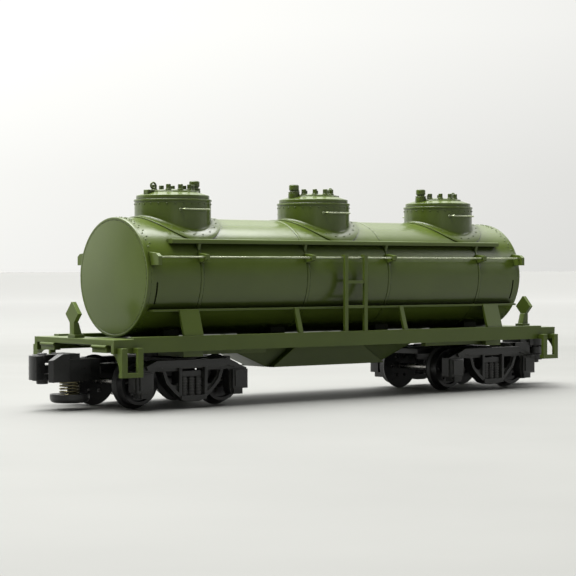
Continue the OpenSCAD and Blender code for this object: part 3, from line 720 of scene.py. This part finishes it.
def walkways():
    """Running boards with a rounded upper edge, cut back beside the domes."""
    low, high, out, half = 68.0, 69.9, 23.5, 96.5
    root, inner, dome_gap_r, curve_half = 21.0, 19.6, 20.6, 6.4
    stations = [-half, half]
    for x in DOMES:
        stations += [x + curve_half * k / 4 for k in range(-4, 5)]
    for side, name in zip(SIDES, ("left_walkway", "right_walkway")):
        bm = bmesh.new()
        rows = []
        for x in sorted(stations):
            near = min(abs(x - dome_x) for dome_x in DOMES)
            edge = max(inner, math.sqrt(dome_gap_r**2 - min(near, dome_gap_r) ** 2))
            outline = rounded([(root, low), (out, low), (out, high), (edge, high)], [0.12, 0.7], 5)
            rows.append([bm.verts.new(Vector((x, side * y, z)) * MM) for y, z in outline])
        skinned(bm, rows)
        bm.faces.new(rows[0])
        bm.faces.new(rows[-1][::-1])
        finished(bm, name + "_board", FITTING_PAINT, name, angle=40)


# ---- Bogies ----


def end_sign(end):
    """The front looks towards -X, the rear towards +X."""
    return -1.0 if end == "front" else 1.0


def bogie_point(end, x, y, z):
    """A point of the wagon, given from the king pin with +X towards the end's coupler."""
    s = end_sign(end)
    return Vector((s * (BOGIE_X + x), s * y, z))


def side_frames(end):
    """Cast side frames, with dark blocks that fill the gaps between their springs."""
    node = end + "_side_frames"
    gap_x, gap_half, low, high = 1.8, 0.5, 5.5, 12.9
    inside, outside = 24.5, 25.1
    bm = cleaned(node)
    centre = end_sign(end) * BOGIE_X
    for side in SIDES:
        near, far = sorted((side * inside, side * outside))
        for x in (centre - gap_x, centre + gap_x):
            brick(bm, (x - gap_half, near, low), (x + gap_half, far, high))
    softened(finished(bm, node + "_detail", CASTING, node), 0.22)


def plate_spring(end):
    """Open coil spring between the coupler head and the plate's pocket."""
    wire, low, high = 0.42, 4.2, 11.8
    axis_x, mean, turns, dead_turns = 42.6, 4.3 - wire, 7.0, 0.75
    steps = int(turns * 28)
    path = []
    for k in range(steps + 1):
        t = k / steps
        climb = min(1.0, max(0.0, (t * turns - dead_turns) / (turns - 2 * dead_turns)))
        a = 2 * math.pi * turns * t
        z = low + wire + (high - low - 2 * wire) * climb
        path.append(bogie_point(end, axis_x + mean * math.cos(a), mean * math.sin(a), z))
    bm = bmesh.new()
    tube(bm, path, wire, 10)
    finished(bm, end + "_plate_coil", BRASS, end + "_plate_spring", angle=60)


def wheels(node):
    """Blackened wheels with bright treads."""
    tread_low, tread_high, tread_lean = 8.3 * MM, 9.25 * MM, 0.4
    bm = cleaned(node)
    low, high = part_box(node)
    centre = (low + high) / 2
    for face in bm.faces:
        spot = face.calc_center_median()
        away = math.hypot(spot.x - centre.x, spot.z - centre.z)
        if tread_low < away < tread_high and abs(face.normal.y) < tread_lean and len(face.verts) == 4:
            face.material_index = 1
    softened(finished(bm, node + "_detail", WHEEL, node, more=(TREAD,)), 0.12, 2)


def castings(end):
    """One bogie's castings and spring. Each number is the width of the softened edges."""
    refined(end + "_bolster", CASTING, 0.25)
    side_frames(end)
    refined(end + "_coupler_head", CASTING, 0.4)
    refined(end + "_knuckle", CASTING, 0.4)
    refined(end + "_knuckle_pin", CASTING, 0.3)
    refined(end + "_uncoupling_plate", CASTING, 0.2)
    plate_spring(end)


def wheelsets(end):
    """One bogie's wheels and axles."""
    for place in ("outer", "inner"):
        wheels(f"{end}_{place}_wheels")
        refined(f"{end}_{place}_axle", STEEL, 0.15)


# ---- Stage, in metres ----


def floor():
    """Matt pale card, darker round the wagon than far away."""
    half = 40.0
    bm = bmesh.new()
    v = [bm.verts.new((x * half, y * half, 0)) for x, y in ((-1, -1), (1, -1), (1, 1), (-1, 1))]
    bm.faces.new(v)
    mesh = bpy.data.meshes.new("floor")
    bm.to_mesh(mesh)
    bm.free()
    s = Surface("floor_card")
    near = s.blend(s.range(s.noise(9.0, 3.0), 0.3, 0.7), (0.17, 0.171, 0.161), (0.185, 0.186, 0.175))
    away = s.node("ShaderNodeVectorMath", operation="LENGTH")
    s.put(away.inputs[0], s.place)
    tint = s.blend(s.range(away.outputs["Value"], 0.5, 2.5), near, (0.545, 0.545, 0.535))
    s.put(s.shader.inputs["Base Color"], tint)
    s.shader.inputs["Roughness"].default_value = 0.75
    mesh.materials.append(s.material)
    piece = bpy.data.objects.new("floor", mesh)
    bpy.context.scene.collection.objects.link(piece)


def lamp(name, place, aim, size, power):
    """A rectangular soft light at place, turned towards aim."""
    data = bpy.data.lights.new(name, "AREA")
    data.shape = "RECTANGLE"
    data.size, data.size_y = size
    data.energy = power
    made = bpy.data.objects.new(name, data)
    made.location = place
    made.rotation_mode = "QUATERNION"
    made.rotation_quaternion = (Vector(aim) - Vector(place)).to_track_quat("-Z", "Y")
    bpy.context.scene.collection.objects.link(made)


class Room(Nodes):
    """The world's node tree."""

    def __init__(self, name):
        world = bpy.data.worlds.new(name)
        bpy.context.scene.world = world
        world.use_nodes = True
        super().__init__(world.node_tree)
        self.direction = self.node("ShaderNodeTexCoord").outputs["Generated"]

    def along(self, axis):
        """How far the direction points along a level axis."""
        made = self.node("ShaderNodeVectorMath", operation="DOT_PRODUCT")
        self.put(made.inputs[0], self.direction)
        made.inputs[1].default_value = axis
        return made.outputs["Value"]

    def levels(self, value, points):
        """Slightly warm white, brighter or darker as value runs through the points."""
        ramp = self.node("ShaderNodeValToRGB")
        self.put(ramp.inputs["Fac"], value)
        band = ramp.color_ramp
        while len(band.elements) < len(points):
            band.elements.new(0.5)
        for element, (at, level) in zip(band.elements, points):
            element.position = at
            element.color = (level, level, level * 0.97, 1.0)
        return ramp.outputs["Color"]

    def mix(self, amount, a, b):
        """From number a to number b as amount goes from 0 to 1."""
        made = self.node("ShaderNodeMix")
        self.put(made.inputs["Factor"], amount)
        self.put(made.inputs["A"], a)
        self.put(made.inputs["B"], b)
        return made.outputs["Result"]


def surroundings():
    """Soft room: bright above and behind, darker in front and at the far left.

    The backdrop that the camera sees stays plain and pale all round.
    """
    s = Room("room")
    split = s.node("ShaderNodeSeparateXYZ")
    s.put(split.inputs[0], s.direction)
    height = s.range(split.outputs["Z"], 0.0, 1.0)
    behind = s.levels(height, ((0.0, 0.87), (0.05, 0.91), (0.13, 1.05), (0.35, 1.1),
                               (0.49, 1.6), (0.6, 3.2), (0.75, 2.3), (1.0, 2.4)))
    ahead = s.levels(height, ((0.0, 0.66), (0.14, 0.45), (0.3, 0.06), (0.78, 0.05), (0.9, 1.4), (1.0, 2.4)))
    backdrop = s.node("ShaderNodeLightPath").outputs["Is Camera Ray"]
    facing = s.range(s.along((0.25, -0.968, 0.0)), 0.05, 0.4)
    colour = s.node("ShaderNodeMix", data_type="RGBA")
    s.put(colour.inputs["Factor"], s.mix(backdrop, facing, 0.0))
    s.put(colour.inputs["A"], behind)
    s.put(colour.inputs["B"], ahead)
    fall = s.range(s.along((0.768, -0.64, 0.0)), -0.16, 0.3, 1.04, 0.75)
    side = s.range(split.outputs["X"], -1.0, 1.0)
    left = s.levels(side, ((0.13, 0.03), (0.18, 0.36), (0.25, 1.6), (0.34, 1.0)))
    back = s.node("ShaderNodeBackground")
    s.put(back.inputs["Color"], colour.outputs["Result"])
    s.put(back.inputs["Strength"], s.math("MULTIPLY", fall, s.mix(backdrop, left, 1.0)))
    out = s.node("ShaderNodeOutputWorld")
    s.put(out.inputs["Surface"], back.outputs[0])


def camera():
    """The viewpoint, worked out for a square picture."""
    data = bpy.data.cameras.new("camera")
    data.lens = 114.79
    data.sensor_width = 36.0
    data.clip_start, data.clip_end = 0.05, 120.0
    made = bpy.data.objects.new("camera", data)
    bpy.context.scene.collection.objects.link(made)
    made.location = Vector((-543.2, -633.4, 57.05)) * MM
    yaw, pitch, roll = (math.radians(v) for v in (50.177, -0.571, -0.052))
    turn = Matrix.Rotation(yaw - math.pi / 2, 4, "Z") @ Matrix.Rotation(math.pi / 2 + pitch, 4, "X")
    made.rotation_mode = "QUATERNION"
    made.rotation_quaternion = (turn @ Matrix.Rotation(roll, 4, "Z")).to_quaternion()
    bpy.context.scene.camera = made


camera()
surroundings()
floor()
lamp("top_soft", (-0.2, 0.3, 1.2), (-0.05, 0.1, 0.05), (1.5, 0.9), 46.0)
lamp("right_soft", (1.3, -0.6, 0.6), (0, 0, 0.06), (0.6, 0.6), 3.0)
lamp("shoulder_soft", (0.76, 0.12, 1.2), (-0.03, 0, 0.07), (0.36, 0.2), 2.6)
bpy.context.scene.view_settings.view_transform = "Standard"

tank_barrel()
end_cap("front_end_cap", -1.0)
end_cap("rear_end_cap", 1.0)
tank_rivets()
for node, x in zip(("front_dome", "middle_dome", "rear_dome"), DOMES):
    dome(node, x)
    dome_lid(node + "_lid", x)
safety_valves()
lid_bolts()
lifting_eyes()
dome_grab_rails()
dome_rivets()
handrails()
walkways()

# CAD pieces that keep their shape, with the width of their softened edges
KEPT = (
    (FRAME_PAINT, "olive_paint", (("underframe", 0.14), ("centre_sill", 0.3), ("corner_steps", 0.3),
                                  ("left_cradle", 0.14), ("right_cradle", 0.14))),
    # saddles in near-black paint as painted shade
    (SHADE_DARK_SADDLE_PAINT, "olive_paint", (("tank_saddles", 0.2),)),
    (FITTING_PAINT, "olive_paint", (("walkway_struts", 0.15), ("handrail_stanchions", 0.25),
                                    ("handrail_end_brackets", 0.25), ("left_ladder", 0.2),
                                    ("right_ladder", 0.2), ("front_placard", 0.2),
                                    ("rear_placard", 0.2))),
    (STEEL, "bare_steel", (("ballast_weight", 0.1), ("body_screws", 0.1), ("front_kingpin", 0.1),
                           ("rear_kingpin", 0.1))),
)
for material, slot, pieces in KEPT:
    for node, width in pieces:
        refined(node, material, width)
for build in (castings, wheelsets):
    for end in ("front", "rear"):
        build(end)
